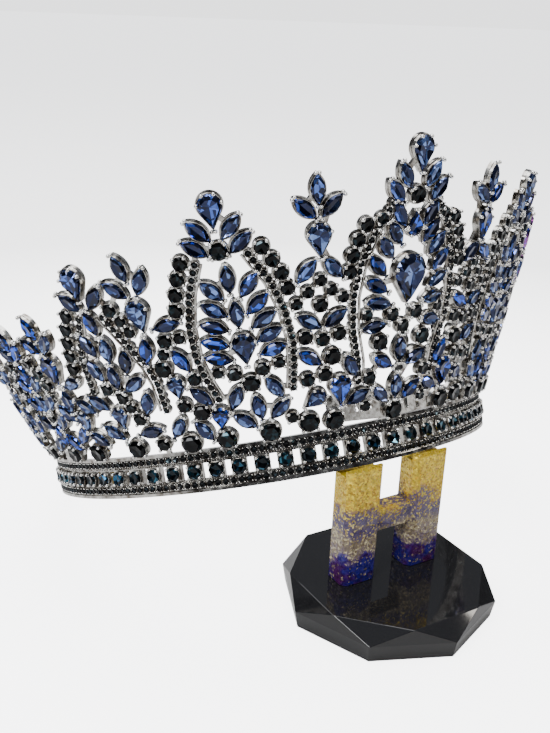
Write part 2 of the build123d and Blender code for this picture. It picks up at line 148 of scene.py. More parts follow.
rearArch = (
    ("leaf", 0, 45.4, 0), ("leaf", 3.4, 41.0, 42), ("leaf", -3.4, 41.0, -42),
    ("round", -6.2, 36.8, 0), ("round", -7.9, 33.0, 0), ("round", -9.1, 29.0, 0),
    ("round", -9.9, 24.9, 0), ("round", 6.2, 36.8, 0), ("round", 7.9, 33.0, 0),
    ("round", 9.1, 29.0, 0), ("leaf", 0, 33.6, 0), ("leaf", -3.4, 30.2, -34),
    ("leaf", 3.4, 30.2, 34), ("leaf", 0, 23.8, 0), ("leaf", -4.7, 23.4, -46),
    ("leaf", 4.7, 23.4, 46), ("dot", 0, 17.9, 0), ("leaf", -5.1, 16.6, -44),
    ("leaf", 5.1, 16.6, 44), ("leaf", 0, 12.0, 0), ("leaf", -5.3, 9.0, 42),
    ("leaf", 5.3, 9.0, -42), ("footRound", 0, 4.8, 0),
)
rearSpire = (
    ("leaf", 0, 38.6, 0), ("leaf", -3.4, 34.0, -44), ("leaf", 3.4, 34.0, 44),
    ("smallPear", 0, 27.0, 0), ("leaf", 0, 19.2, 0), ("leaf", -4.6, 15.4, -46),
    ("leaf", 4.6, 15.4, 46), ("dot", 0, 11.4, 0), ("footRound", 0, 5.4, 0),
)
endLeaf = (
    ("leaf", 0, 21.6, 0), ("leaf", -3.4, 17.0, -44), ("leaf", 3.4, 17.0, 44),
    ("smallPear", 0, 10.4, 0), ("dot", 0, 4.9, 0),
)

# Motifs on the wall: name of its nodes, table, angle from the front.
motifs = (
    ("centre_arch", centreArch, 0.0),
    ("tall_spire", tallSpire, 16.4),
    ("side_arch", sideArch, 30.4),
    ("low_spire", lowSpire, 46.7),
    ("low_arch", lowArch, 55.2),
    ("side_spire", sideSpire, 69.5),
    ("rear_arch", rearArch, 79.3),
    ("rear_spire", rearSpire, 92.0),
    ("end_leaf", endLeaf, 104.0),
)

# Rows of seed stones up each arch: angle of the arch, side of its leg, then x and rise along it.
legs = (
    (0.0, 1, ((7.6, 64.6), (12.4, 57.0), (15.4, 49.0), (16.6, 40.0), (15.8, 31.0), (13.4, 22.0),
              (12.6, 15.5))),
    (30.4, -1, ((-8.2, 55.6), (-11.3, 47.4), (-12.9, 39.0), (-12.8, 30.0), (-11.0, 22.6),
                (-8.9, 17.0))),
    (30.4, 1, ((5.6, 56.4), (10.2, 47.8), (12.6, 39.6), (13.5, 31.0), (12.8, 24.0), (11.6, 17.0))),
    (55.2, -1, ((-3.6, 46.6), (-6.6, 39.7), (-8.7, 35.0), (-9.6, 29.0), (-10.0, 25.0))),
    (55.2, 1, ((4.0, 46.0), (7.6, 37.6), (10.6, 29.8), (11.4, 24.0), (10.6, 16.0))),
    (79.3, -1, ((-3.6, 37.0), (-6.2, 30.0), (-7.6, 25.0), (-8.6, 17.0))),
    (79.3, 1, ((3.6, 37.0), (6.2, 30.0), (7.6, 25.0), (8.6, 17.0))),
)


def wallRadius(rise):
    return crown["bandRadius"] + rise * sin(radians(crown["flare"]))


# Place on the wall, in millimetres: the local z points out of it and the local y up its slope.
def wallPlace(angle, rise, lean=0.0, out=0.0):
    middle = round(angle / crown["facetStep"]) * crown["facetStep"]
    across = wallRadius(rise) * radians(angle - middle)
    foot = Matrix.Translation((0, 0, crown["wallStart"])) @ Matrix.Rotation(radians(middle), 4, "Z")
    slope = Matrix.Rotation(radians(90 + crown["flare"]), 4, "X")
    facet = crownFrame @ foot @ Matrix.Translation((0, -crown["bandRadius"], 0)) @ slope
    return facet @ Matrix.Translation((across, rise, out)) @ Matrix.Rotation(radians(-lean), 4, "Z")


# Place on the band, at an arc length from the front and a height from its middle row.
def bandPlace(arc, height, out=0.0):
    turn = Matrix.Rotation(arc / crown["bandRadius"], 4, "Z")
    reach = Matrix.Translation((0, -crown["bandRadius"] - out, height))
    return crownFrame @ turn @ reach @ Matrix.Rotation(radians(90), 4, "X")


def angleAt(motifAngle, side, x, rise):
    return side * (motifAngle - degrees(x / wallRadius(rise)))


# Every stone on the wall, as its CAD name, cut and place.
def allStones():
    for motif, table, motifAngle in motifs:
        for row, (cut, x, rise, lean) in enumerate(table):
            number = 1 + sum(1 for earlier in table[:row] if earlier[0] == cut)
            for side, word in ((-1, "left"), (1, "right")):
                middle = motifAngle == 0 and x == 0
                if middle and side == 1:
                    continue
                plainCut = {"greatPear": "great_pear"}.get(cut, cut)
                name = f"{motif}_{'middle' if middle else word}_{plainCut}_{number}"
                yield name, cut, wallPlace(angleAt(motifAngle, side, x, rise), rise, side * -lean)


# Points evenly spaced along a polyline of (x, rise).
def pointsAlong(leg, pitch):
    corners = [Vector(corner) for corner in leg]
    lengths = [(b - a).length for a, b in zip(corners, corners[1:])]
    count = round(sum(lengths) / pitch)
    for number in range(count + 1):
        left = sum(lengths) * number / count
        for a, b, length in zip(corners, corners[1:], lengths):
            if left <= length + 1e-9:
                yield a.lerp(b, left / length)
                break
            left -= length


def link(thing):
    bpy.context.scene.collection.objects.link(thing)
    return thing


# Corners of a stone's girdle with its head at +y, grown by a margin.
def girdle(cut, margin=0.0):
    width, length, _, count = cuts[cut]
    halfWidth, halfLength = width / 2 + margin, length / 2 + margin
    if width == length:
        return [(halfWidth * cos(turn * 2 * pi / count), halfWidth * sin(turn * 2 * pi / count))
                for turn in range(count)]
    if cut == "leaf":
        shares = [-1, -0.74, -0.38, 0, 0.38, 0.74]
        right = [(halfWidth * (1 - share ** 2), halfLength * share) for share in shares]
        return right + [(-x, -y) for x, y in right]
    head = halfLength - halfWidth
    swing = acos(halfWidth / (head + halfLength))
    turns = [swing - pi / 2 + (2 * pi - 2 * swing) * number / (count - 2) for number in range(count - 1)]
    return [(0, -halfLength)] + [(halfWidth * cos(t), head + halfWidth * sin(t)) for t in turns]


# Middle points of a stone's pavilion, seen through its table: one, or two on a long stone.
def pavilionPoints(cut):
    width, length, _, _ = cuts[cut]
    if width == length:
        return (0, 0), (0, 0)
    if cut == "leaf":
        return (0, 0.26 * length), (0, -0.26 * length)
    head = (length - width) / 2
    return (0, 0.9 * head), (0, -0.22 * length)


# Rings of a stone's corners: shares of its outline and of its height.
facets = {"foot": 0.95, "rimHeight": 0.36, "middle": 0.90, "middleHeight": 0.72, "table": 0.72,
          "innerHeight": 0.80}


# A cut stone: sides, girdle facets, kites and a table, through which the pavilion's facets show.
def stoneShape(cut):
    height = cuts[cut][2]
    bottom = crown["seatTop"] + crown["stoneGap"]
    edge = girdle(cut)
    count = len(edge)
    half = [((edge[i][0] + edge[(i + 1) % count][0]) / 2, (edge[i][1] + edge[(i + 1) % count][1]) / 2)
            for i in range(count)]
    foot, middle, top = facets["foot"], facets["middle"], facets["table"]
    points = [(x * foot, y * foot, bottom) for x, y in edge]
    points += [(x, y, bottom + facets["rimHeight"] * height) for x, y in edge]
    points += [(x * middle, y * middle, bottom + facets["middleHeight"] * height) for x, y in half]
    points += [(x * top, y * top, bottom + height) for x, y in edge]
    upper, lower = pavilionPoints(cut)
    points += [(x, y, bottom + facets["innerHeight"] * height) for x, y in (upper, lower)]
    rim, mid, table, inner = count, 2 * count, 3 * count, 4 * count
    divide = (upper[1] + lower[1]) / 2
    faces = [tuple(range(count - 1, -1, -1))]
    for i in range(count):
        after, before = (i + 1) % count, (i - 1) % count
        faces.append((i, after, rim + after, rim + i))
        faces.append((rim + i, rim + after, mid + i))
        if i % 2 == 0:
            faces.append((rim + i, mid + i, table + i, mid + before))
            other = (i + 2) % count
            one, two = (inner if edge[k][1] > divide or upper == lower else inner + 1 for k in (i, other))
            faces.append((table + i, table + other, two) + ((one,) if one != two else ()))
        else:
            faces.append((rim + i, mid + i, mid + before))
            faces.append((mid + before, mid + i, table + after, table + before))
    mesh = bpy.data.meshes.new(cut + "Shape")
    mesh.from_pydata(points, [], faces)
    shade = mesh.attributes.new("facet", "FLOAT", "FACE")
    dice = random.Random(len(cut) * 7 + count)
    for value in shade.data:
        value.value = dice.random()
    return link(bpy.data.objects.new(cut + "Shape", mesh))


# Collar of metal round a stone, open at the bottom where it stands on its seat.
cup = {"wall": 0.17, "flare": 0.08, "rimShare": 0.42, "claw": 0.55, "clawTall": 1.3, "seedClaw": 0.45,
       "clawRise": 0.62, "clawOut": 0.25, "clawSpread": 0.45, "roundOut": 0.1,
       "roundTurns": (45, 135, 225, 315), "headTurns": (10, 62, 118, 170)}


def cupShape(cut):
    height = cuts[cut][2]
    rim = crown["seatTop"] + crown["stoneGap"] + cup["rimShare"] * height
    wall = cup["wall"]
    rings = ((wall + cup["flare"], crown["seatTop"] - 0.1), (wall, rim - 0.12), (wall * 0.7, rim),
             (0.02, rim), (-0.02, rim - 0.3 * height))
    points = [(x, y, z) for margin, z in rings for x, y in girdle(cut, margin)]
    count = len(girdle(cut))
    faces = [(low * count + i, low * count + (i + 1) % count, (low + 1) * count + (i + 1) % count,
              (low + 1) * count + i) for low in range(len(rings) - 1) for i in range(count)]
    mesh = bpy.data.meshes.new(cut + "Cup")
    mesh.from_pydata(points, [], faces)
    return link(bpy.data.objects.new(cut + "Cup", mesh))


# Places of the claws of a stone, in its own millimetres.
def clawPlaces(cut):
    width, length, height, _ = cuts[cut]
    z = crown["seatTop"] + crown["stoneGap"] + cup["clawRise"] * height

    def onArc(radius, middle, turns):
        return [(radius * cos(radians(turn)), middle + radius * sin(radians(turn)), z) for turn in turns]

    if width == length:
        return onArc(width / 2 + cup["roundOut"], 0.0, cup["roundTurns"])
    tip, spread = length / 2 + cup["clawOut"], cup["clawSpread"]
    places = [(-spread, -tip, z), (spread, -tip, z)]
    if cut == "leaf":
        return places + [(-spread, tip, z), (spread, tip, z)]
    return places + onArc(width / 2, (length - width) / 2, cup["headTurns"])


def ballShape(name, radius, tall, detail):
    mesh = bpy.data.meshes.new(name)
    ball = bmesh.new()
    bmesh.ops.create_icosphere(ball, subdivisions=detail, radius=radius)
    bmesh.ops.scale(ball, vec=(1, 1, tall), verts=ball.verts)
    for face in ball.faces:
        face.smooth = True
    ball.to_mesh(mesh)
    ball.free()
    return link(bpy.data.objects.new(name, mesh))


# Node trees
def newTree(name, inputs):
    tree = bpy.data.node_groups.new(name, "GeometryNodeTree")
    tree.interface.new_socket(name="Geometry", in_out="INPUT", socket_type="NodeSocketGeometry")
    for label, kind, value in inputs:
        socket = tree.interface.new_socket(name=label, in_out="INPUT", socket_type=kind)
        if value is not None:
            socket.default_value = value
    tree.interface.new_socket(name="Geometry", in_out="OUTPUT", socket_type="NodeSocketGeometry")
    return tree


def addNode(tree, kind, **settings):
    node = tree.nodes.new(kind)
    for key, value in settings.items():
        setattr(node, key, value)
    return node


# A copy of a shape on each point, turned as the point says, with a chance value of its own.
def copiesTree():
    tree = newTree("shapeOnPoints", (("Shape", "NodeSocketObject", None),
                                     ("Finish", "NodeSocketMaterial", None), ("Seed", "NodeSocketInt", 1)))
    given = addNode(tree, "NodeGroupInput")
    result = addNode(tree, "NodeGroupOutput")
    shape = addNode(tree, "GeometryNodeObjectInfo")
    turn = addNode(tree, "GeometryNodeInputNamedAttribute", data_type="FLOAT_VECTOR")
    turn.inputs["Name"].default_value = "turn"
    size = addNode(tree, "GeometryNodeInputNamedAttribute", data_type="FLOAT")
    size.inputs["Name"].default_value = "size"
    toTurn = addNode(tree, "FunctionNodeEulerToRotation")
    copies = addNode(tree, "GeometryNodeInstanceOnPoints")
    chance = addNode(tree, "FunctionNodeRandomValue", data_type="FLOAT")
    store = addNode(tree, "GeometryNodeStoreNamedAttribute", data_type="FLOAT", domain="INSTANCE")
    store.inputs["Name"].default_value = "tint"
    real = addNode(tree, "GeometryNodeRealizeInstances")
    finish = addNode(tree, "GeometryNodeSetMaterial")
    wire = tree.links.new
    wire(given.outputs["Shape"], shape.inputs["Object"])
    wire(given.outputs["Geometry"], copies.inputs["Points"])
    wire(shape.outputs["Geometry"], copies.inputs["Instance"])
    wire(turn.outputs["Attribute"], toTurn.inputs["Euler"])
    wire(toTurn.outputs["Rotation"], copies.inputs["Rotation"])
    wire(size.outputs["Attribute"], copies.inputs["Scale"])
    wire(given.outputs["Seed"], chance.inputs["Seed"])
    wire(copies.outputs["Instances"], store.inputs["Geometry"])
    drawn = next(socket for socket in chance.outputs if socket.enabled)
    wire(drawn, next(socket for socket in store.inputs if socket.name == "Value" and socket.enabled))
    wire(store.outputs["Geometry"], real.inputs["Geometry"])
    wire(real.outputs["Geometry"], finish.inputs["Geometry"])
    wire(given.outputs["Finish"], finish.inputs["Material"])
    wire(finish.outputs["Geometry"], result.inputs["Geometry"])
    return tree


# A round wire along the edges of a mesh path.
def wireTree():
    tree = newTree("wireAlongPath", (("Radius", "NodeSocketFloat", 0.0004), ("Sides", "NodeSocketInt", 6),
                                     ("Finish", "NodeSocketMaterial", None)))
    given = addNode(tree, "NodeGroupInput")
    result = addNode(tree, "NodeGroupOutput")
    path = addNode(tree, "GeometryNodeMeshToCurve")
    profile = addNode(tree, "GeometryNodeCurvePrimitiveCircle")
    tube = addNode(tree, "GeometryNodeCurveToMesh")
    tube.inputs["Fill Caps"].default_value = True
    real = addNode(tree, "GeometryNodeRealizeInstances")
    finish = addNode(tree, "GeometryNodeSetMaterial")
    wire = tree.links.new
    wire(given.outputs["Geometry"], path.inputs["Mesh"])
    wire(given.outputs["Sides"], profile.inputs["Resolution"])
    wire(given.outputs["Radius"], profile.inputs["Radius"])
    wire(path.outputs["Curve"], tube.inputs["Curve"])
    wire(profile.outputs["Curve"], tube.inputs["Profile Curve"])
    wire(tube.outputs["Mesh"], real.inputs["Geometry"])
    wire(real.outputs["Geometry"], finish.inputs["Geometry"])
    wire(given.outputs["Finish"], finish.inputs["Material"])
    wire(finish.outputs["Geometry"], result.inputs["Geometry"])
    return tree


# Runs a tree on a mesh and keeps the result as a plain mesh.
def bake(name, source, tree, values):
    maker = bpy.data.objects.new(name + "Maker", source)
    modifier = maker.modifiers.new("make", "NODES")
    modifier.node_group = tree
    for item in tree.interface.items_tree:
        if item.item_type == "SOCKET" and item.in_out == "INPUT" and item.name in values:
            modifier[item.identifier] = values[item.name]
    link(maker)
    mesh = bpy.data.meshes.new_from_object(maker.evaluated_get(bpy.context.evaluated_depsgraph_get()))
    bpy.data.objects.remove(maker)
    mesh.name = name
    mesh.materials.clear()
    mesh.materials.append(values["Finish"])
    mesh.polygons.foreach_set("material_index", [0] * len(mesh.polygons))
    return link(bpy.data.objects.new(name, mesh))


# Copies of a shape at places in the crown's millimetres, each a matrix and a size.
def placeCopies(name, shape, places, finish, seed=1):
    points = bpy.data.meshes.new(name + "Points")
    points.from_pydata([(toMetres @ place).to_translation() for place, _ in places], [], [])
    points.attributes.new("turn", "FLOAT_VECTOR", "POINT")
    points.attributes.new("size", "FLOAT", "POINT")
    for number, (place, size) in enumerate(places):
        points.attributes["turn"].data[number].vector = place.to_euler()
        points.attributes["size"].data[number].value = 0.001 * size
    return bake(name, points, onPoints, {"Shape": shape, "Finish": finish, "Seed": seed})


def joined(name, parts):
    whole = bmesh.new()
    finish = parts[0].data.materials[0]
    for part in parts:
        whole.from_mesh(part.data)
    mesh = bpy.data.meshes.new(name)
    whole.to_mesh(mesh)
    whole.free()
    mesh.materials.append(finish)
    for part in parts:
        bpy.data.objects.remove(part)
    return link(bpy.data.objects.new(name, mesh))


def finishPiece(piece, slot, *nodes):
    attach(piece, "root")
    if nodes:
        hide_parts(*nodes)


# Materials
def newMaterial(name, **values):
    material = bpy.data.materials.new(name)
    material.use_nodes = True
    shader = material.node_tree.nodes["Principled BSDF"]
    for key, value in values.items():
        shader.inputs[key].default_value = value
    return material, material.node_tree, shader


def shaderGroup(name, inputs, outputs):
    group = bpy.data.node_groups.new(name, "ShaderNodeTree")
    for label, kind, value in inputs:
        group.interface.new_socket(name=label, in_out="INPUT", socket_type=kind).default_value = value
    for label, kind in outputs:
        group.interface.new_socket(name=label, in_out="OUTPUT", socket_type=kind)
    return group, addNode(group, "NodeGroupInput"), addNode(group, "NodeGroupOutput")


def mixColour(tree, share, one, other):
    node = addNode(tree, "ShaderNodeMix", data_type="RGBA")
    for socket, value in ((node.inputs[0], share), (node.inputs[6], one), (node.inputs[7], other)):
        if isinstance(value, bpy.types.NodeSocket):
            tree.links.new(value, socket)
        else:
            socket.default_value = value
    return node.outputs[2]


def mathNode(tree, operation, one, other):
    node = addNode(tree, "ShaderNodeMath", operation=operation)
    for socket, value in zip(node.inputs, (one, other)):
        if isinstance(value, bpy.types.NodeSocket):
            tree.links.new(value, socket)
        else:
            socket.default_value = value
    return node.outputs[0]


def rangeNode(tree, value, low, high, toLow=0.0, toHigh=1.0):
    node = addNode(tree, "ShaderNodeMapRange")
    tree.links.new(value, node.inputs["Value"])
    for key, number in (("From Min", low), ("From Max", high), ("To Min", toLow), ("To Max", toHigh)):
        node.inputs[key].default_value = number
    return node.outputs["Result"]


# How the facets' chance values become colours, and where the far side's painted sparkle begins, in metres.
spread = {"facet": 7.3, "stone": 5.1, "cell": 0.6, "own": 0.8, "royal": 9.7, "cellScale": 620.0,
          "sparkleBegin": 0.056, "sparkleFull": 0.080, "sparkleSpotScale": 330.0}


# Colour of a stone's facets, painted: each facet and each stone gets its own mix of dark, body and flash
# colours, which paints the light and shade reflected in the facets, and the far side gets a painted
# sparkle.
def stoneColourGroup():
    black = (0.0, 0.0, 0.0, 1)
    labels = ("Deep", "Body", "Flash", "Royal", "SideSparkle")
    group, given, result = shaderGroup(
        "stoneColour", [(label, "NodeSocketColor", black) for label in labels]
        + [("Tint Share", "NodeSocketFloat", 0.7)], (("Color", "NodeSocketColor"),))

    def times(one, other):
        return mathNode(group, "MULTIPLY", one, other)

    def plus(one, other):
        return mathNode(group, "ADD", one, other)

    def afterPoint(value):
        return mathNode(group, "FRACT", value, 0.0)

    facet = addNode(group, "ShaderNodeAttribute", attribute_name="facet").outputs["Fac"]
    tint = addNode(group, "ShaderNodeAttribute", attribute_name="tint").outputs["Fac"]
    place = addNode(group, "ShaderNodeTexCoord").outputs["Object"]
    inner = addNode(group, "ShaderNodeTexVoronoi")    # painted reflections of the pavilion's facets, seen through the top
    inner.inputs["Scale"].default_value = spread["cellScale"]
    group.links.new(place, inner.inputs["Vector"])
    cell = addNode(group, "ShaderNodeSeparateColor")
    group.links.new(inner.outputs["Color"], cell.inputs["Color"])
    # The part after the point of a sum gives each facet of each stone a chance value of its own.
    own = plus(times(facet, spread["facet"]), times(tint, spread["stone"]))
    mixed = afterPoint(plus(own, times(cell.outputs["Red"], spread["cell"])))
    total = plus(times(mixed, spread["own"]), times(tint, 1.0 - spread["own"]))
    # Painted light and shade: low values give dark facets, high values mix towards the flash colours of a
    # lit facet.
    low = mixColour(group, rangeNode(group, total, 0.05, 0.6), given.outputs["Deep"], given.outputs["Body"])
    royal = rangeNode(group, afterPoint(times(tint, spread["royal"])), 0.55, 0.8)
    flash = mixColour(group, royal, given.outputs["Flash"], given.outputs["Royal"])
    high = mixColour(group, rangeNode(group, total, 0.64, 0.88), low, flash)
    # Painted sparkle: stones beyond a set x on the far flank get the sparkle colour in noise spots, the
    # same from every side.
    split = addNode(group, "ShaderNodeSeparateXYZ")
    group.links.new(place, split.inputs[0])
    far = rangeNode(group, split.outputs["X"], spread["sparkleBegin"], spread["sparkleFull"])
    spots = addNode(group, "ShaderNodeTexNoise")
    spots.inputs["Scale"].default_value = spread["sparkleSpotScale"]
    group.links.new(place, spots.inputs["Vector"])
    sparkleSpots = times(far, rangeNode(group, spots.outputs["Fac"], 0.47, 0.56))
    share = times(sparkleSpots, given.outputs["Tint Share"])
    group.links.new(mixColour(group, share, high, given.outputs["SideSparkle"]), result.inputs["Color"])
    return group


# Fine unevenness of a polished surface.
def polishNoiseGroup():
    values = (("Scale", 300.0), ("Low", 0.1), ("High", 0.25))
    group, given, result = shaderGroup(
        "polishNoise", [(label, "NodeSocketFloat", value) for label, value in values],
        (("Roughness", "NodeSocketFloat"), ("Fac", "NodeSocketFloat")))
    noise = addNode(group, "ShaderNodeTexNoise")
    noise.inputs["Detail"].default_value = 3.0
    group.links.new(addNode(group, "ShaderNodeTexCoord").outputs["Object"], noise.inputs["Vector"])
    group.links.new(given.outputs["Scale"], noise.inputs["Scale"])
    spread = addNode(group, "ShaderNodeMapRange")
    spread.inputs["From Min"].default_value = 0.3
    spread.inputs["From Max"].default_value = 0.7
    group.links.new(noise.outputs["Fac"], spread.inputs["Value"])
    group.links.new(given.outputs["Low"], spread.inputs["To Min"])
    group.links.new(given.outputs["High"], spread.inputs["To Max"])
    group.links.new(spread.outputs["Result"], result.inputs["Roughness"])
    group.links.new(noise.outputs["Fac"], result.inputs["Fac"])
    return group


stoneColour = stoneColourGroup()
polishNoise = polishNoiseGroup()


def addGroup(tree, group, **values):
    node = addNode(tree, "ShaderNodeGroup", node_tree=group)
    for key, value in values.items():
        node.inputs[key.replace("_", " ")].default_value = value
    return node


def silverMetal(name, dull, bright, smooth):
    material, tree, shader = newMaterial(name, Metallic=1.0)
    surfaceNoise = addGroup(tree, polishNoise, Scale=420.0, Low=smooth, High=0.3)
    tree.links.new(surfaceNoise.outputs["Roughness"], shader.inputs["Roughness"])
    # The colour runs from the dull to the bright end in noise patches; a dark dull end here is painted
    # shade.
    colour = mixColour(tree, rangeNode(tree, surfaceNoise.outputs["Fac"], 0.35, 0.62), dull, bright)
    tree.links.new(colour, shader.inputs["Base Color"])
    return material


# Colours of the stones: dark, body and flash colours that paint the light and shade in their facets, the
# far side's painted sparkle and its share, and how metallic and how coated they are.
glasses = {
    "blueGlass": {
        "Deep": (0.001, 0.0015, 0.008, 1), "Body": (0.009, 0.018, 0.075, 1), "Flash": (0.17, 0.28, 0.62, 1),
        "Royal": (0.03, 0.14, 0.95, 1), "SideSparkle": (0.75, 0.16, 0.75, 1), "Tint_Share": 0.8,
        "metallic": 0.95, "coat": 0.6},
    "darkGlass": {
        "Deep": (0.0005, 0.0005, 0.001, 1), "Body": (0.001, 0.0015, 0.002, 1),
        "Flash": (0.012, 0.020, 0.025, 1), "Royal": (0.01, 0.03, 0.04, 1),
        "SideSparkle": (0.16, 0.08, 0.24, 1), "Tint_Share": 0.6, "metallic": 0.9, "coat": 0.2},
    "tealGlass": {
        "Deep": (0.0005, 0.0015, 0.0025, 1), "Body": (0.002, 0.007, 0.011, 1),
        "Flash": (0.03, 0.13, 0.19, 1), "Royal": (0.01, 0.09, 0.20, 1),
        "SideSparkle": (0.04, 0.30, 0.34, 1), "Tint_Share": 0.8, "metallic": 0.9, "coat": 0.25},
}


def stoneGlass(name):
    colours = dict(glasses[name])
    material, tree, shader = newMaterial(name, Metallic=colours.pop("metallic"), Roughness=0.07)
    shader.inputs["Coat Weight"].default_value = colours.pop("coat")
    shader.inputs["Coat Roughness"].default_value = 0.02
    colour = addGroup(tree, stoneColour, **colours)
    tree.links.new(colour.outputs["Color"], shader.inputs["Base Color"])
    return material


# Colours and share of flakes of the posts, from their foot to their top.
resinLayers = (
    (0.0, (0.020, 0.002, 0.10, 1), 0.05), (0.20, (0.030, 0.006, 0.20, 1), 0.07),
    (0.27, (0.20, 0.15, 0.17, 1), 0.45), (0.42, (0.24, 0.19, 0.13, 1), 0.50),
    (0.50, (0.085, 0.065, 0.15, 1), 0.20), (0.62, (0.13, 0.09, 0.13, 1), 0.40),
    (0.72, (0.72, 0.40, 0.002, 1), 0.80), (1.0, (0.95, 0.62, 0.004, 1), 0.95),
)


def rampNode(tree, share, stops):
    ramp = addNode(tree, "ShaderNodeValToRGB")
    tree.links.new(share, ramp.inputs["Fac"])
    while len(ramp.color_ramp.elements) < len(stops):
        ramp.color_ramp.elements.new(0.5)
    for element, (position, colour) in zip(ramp.color_ramp.elements, stops):
        element.position = position
        element.color = colour
    return ramp.outputs["Color"]


def glitterResin():
    material, tree, shader = newMaterial("glitterResin")
    shader.inputs["Coat Weight"].default_value = 0.5
    shader.inputs["Coat Roughness"].default_value = 0.03
    shader.inputs["Roughness"].default_value = 0.35
    shader.inputs["Specular IOR Level"].default_value = 0.25
    place = addNode(tree, "ShaderNodeTexCoord").outputs["Object"]
    split = addNode(tree, "ShaderNodeSeparateXYZ")
    tree.links.new(place, split.inputs[0])
    cloud = addNode(tree, "ShaderNodeTexNoise")
    cloud.inputs["Scale"].default_value = 150.0
    tree.links.new(place, cloud.inputs["Vector"])
    low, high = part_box("stand_posts")
    shift = rangeNode(tree, cloud.outputs["Fac"], 0.3, 0.7, -0.0035, 0.0035)
    height = rangeNode(tree, mathNode(tree, "ADD", split.outputs["Z"], shift), low[2], high[2])
    colour = rampNode(tree, height, [(position, layer) for position, layer, _ in resinLayers])
    amounts = [(position, (share, share, share, 1)) for position, _, share in resinLayers]
    density = rampNode(tree, height, amounts)
    patches = addNode(tree, "ShaderNodeTexNoise")    # blue and magenta swirls in the foot
    patches.inputs["Scale"].default_value = 210.0
    tree.links.new(place, patches.inputs["Vector"])
    swirl = mixColour(tree, rangeNode(tree, patches.outputs["Fac"], 0.42, 0.58),
                      (0.008, 0.008, 0.17, 1), (0.06, 0.0, 0.055, 1))
    foot = rangeNode(tree, height, 0.18, 0.26, 0.75, 0.0)
    colour = mixColour(tree, foot, colour, swirl)
    flakes = addNode(tree, "ShaderNodeTexVoronoi")
    flakes.inputs["Scale"].default_value = 1900.0
    tree.links.new(place, flakes.inputs["Vector"])
    chance = addNode(tree, "ShaderNodeSeparateColor")
    tree.links.new(flakes.outputs["Color"], chance.inputs["Color"])
    isFlake = mathNode(tree, "LESS_THAN", chance.outputs["Red"], density)
    # Each flake gets a random brightness from dark to bright: partly the glitter's own mix, partly painted
    # glints of flakes that catch the light, on top of their tilted normals.
    gold = mixColour(tree, chance.outputs["Green"], (0.26, 0.12, 0.001, 1), (1.0, 0.80, 0.06, 1))
    pale = mixColour(tree, chance.outputs["Green"], (0.20, 0.14, 0.07, 1), (0.85, 0.74, 0.46, 1))
    flake = mixColour(tree, rangeNode(tree, height, 0.42, 0.58), pale, gold)
    colour = mixColour(tree, mathNode(tree, "MULTIPLY", isFlake, 0.8), colour, flake)
    tree.links.new(colour, shader.inputs["Base Color"])
    tree.links.new(mathNode(tree, "MULTIPLY", isFlake, 0.4), shader.inputs["Metallic"])
    geometry = addNode(tree, "ShaderNodeNewGeometry")
    lean = addNode(tree, "ShaderNodeVectorMath", operation="SUBTRACT")    # each flake leans its own way
    tree.links.new(flakes.outputs["Color"], lean.inputs[0])
    lean.inputs[1].default_value = (0.5, 0.5, 0.5)
    tilt = addNode(tree, "ShaderNodeVectorMath", operation="MULTIPLY_ADD")
    tree.links.new(lean.outputs[0], tilt.inputs[0])
    tilt.inputs[1].default_value = (0.9, 0.9, 0.9)
    tree.links.new(geometry.outputs["Normal"], tilt.inputs[2])
    straight = addNode(tree, "ShaderNodeVectorMath", operation="NORMALIZE")
    tree.links.new(tilt.outputs[0], straight.inputs[0])
    tree.links.new(straight.outputs[0], shader.inputs["Normal"])
    return material


def blackResin():
    material, tree, shader = newMaterial("blackResin", IOR=1.5)
    shader.inputs["Base Color"].default_value = (0.010, 0.010, 0.011, 1)
    surfaceNoise = addGroup(tree, polishNoise, Scale=60.0, Low=0.02, High=0.07)
    tree.links.new(surfaceNoise.outputs["Roughness"], shader.inputs["Roughness"])
    return material


# Frame silver: its warm tint is the metal's own, and its dark low end is painted shade, laid in noise
# patches so the metal reads as shaded between the stones.
shadedSilver = silverMetal("silverMetal", (0.15, 0.13, 0.11, 1), (0.62, 0.61, 0.58, 1), 0.1)
# A lighter copy of the same silver for the claws: a painted highlight, so they read as catching the light.
paintedHighlightSilver = silverMetal("paintedHighlightSilver", (0.60, 0.58, 0.54, 1), (0.95, 0.95, 0.93, 1), 0.05)
blueGlass, darkGlass, tealGlass = (stoneGlass(name) for name in glasses)
resin = glitterResin()
black = blackResin()
print("materials made")

# Stones of the wall
onPoints = copiesTree()
alongPath = wireTree()
shapes = {cut: stoneShape(cut) for cut in cuts}
cups = {cut: cupShape(cut) for cut in cuts}
stones = list(allStones())
fields = (("leafStones", "leaf", blueGlass, ("leaf_stones",), "blue_glass"),
          ("smallPearStones", "smallPear", blueGlass, ("small_pear_stones",), "blue_glass"),
          ("footStones", "footRound", darkGlass, ("foot_stones",), "dark_glass"),
          ("dotStones", "dot", darkGlass, (), "dark_glass"),
          ("roundStones", "round", darkGlass, (), "dark_glass"),
          ("largeRoundStones", "largeRound", darkGlass, (), "dark_glass"))
for seed, (name, cut, finish, nodes, slot) in enumerate(fields):
    places = [(place, 1.0) for _, other, place in stones if other == cut]
    finishPiece(placeCopies(name, shapes[cut], places, finish, seed), slot, *nodes)
for number, (node, cut, place) in enumerate(stones):
    if cut in ("pear", "greatPear"):
        word, *rest = node.split("_")
        name = word + "".join(part.capitalize() for part in rest)
        finishPiece(placeCopies(name, shapes[cut], [(place, 1.0)], blueGlass, number), "blue_glass", node)
print("wall stones placed")

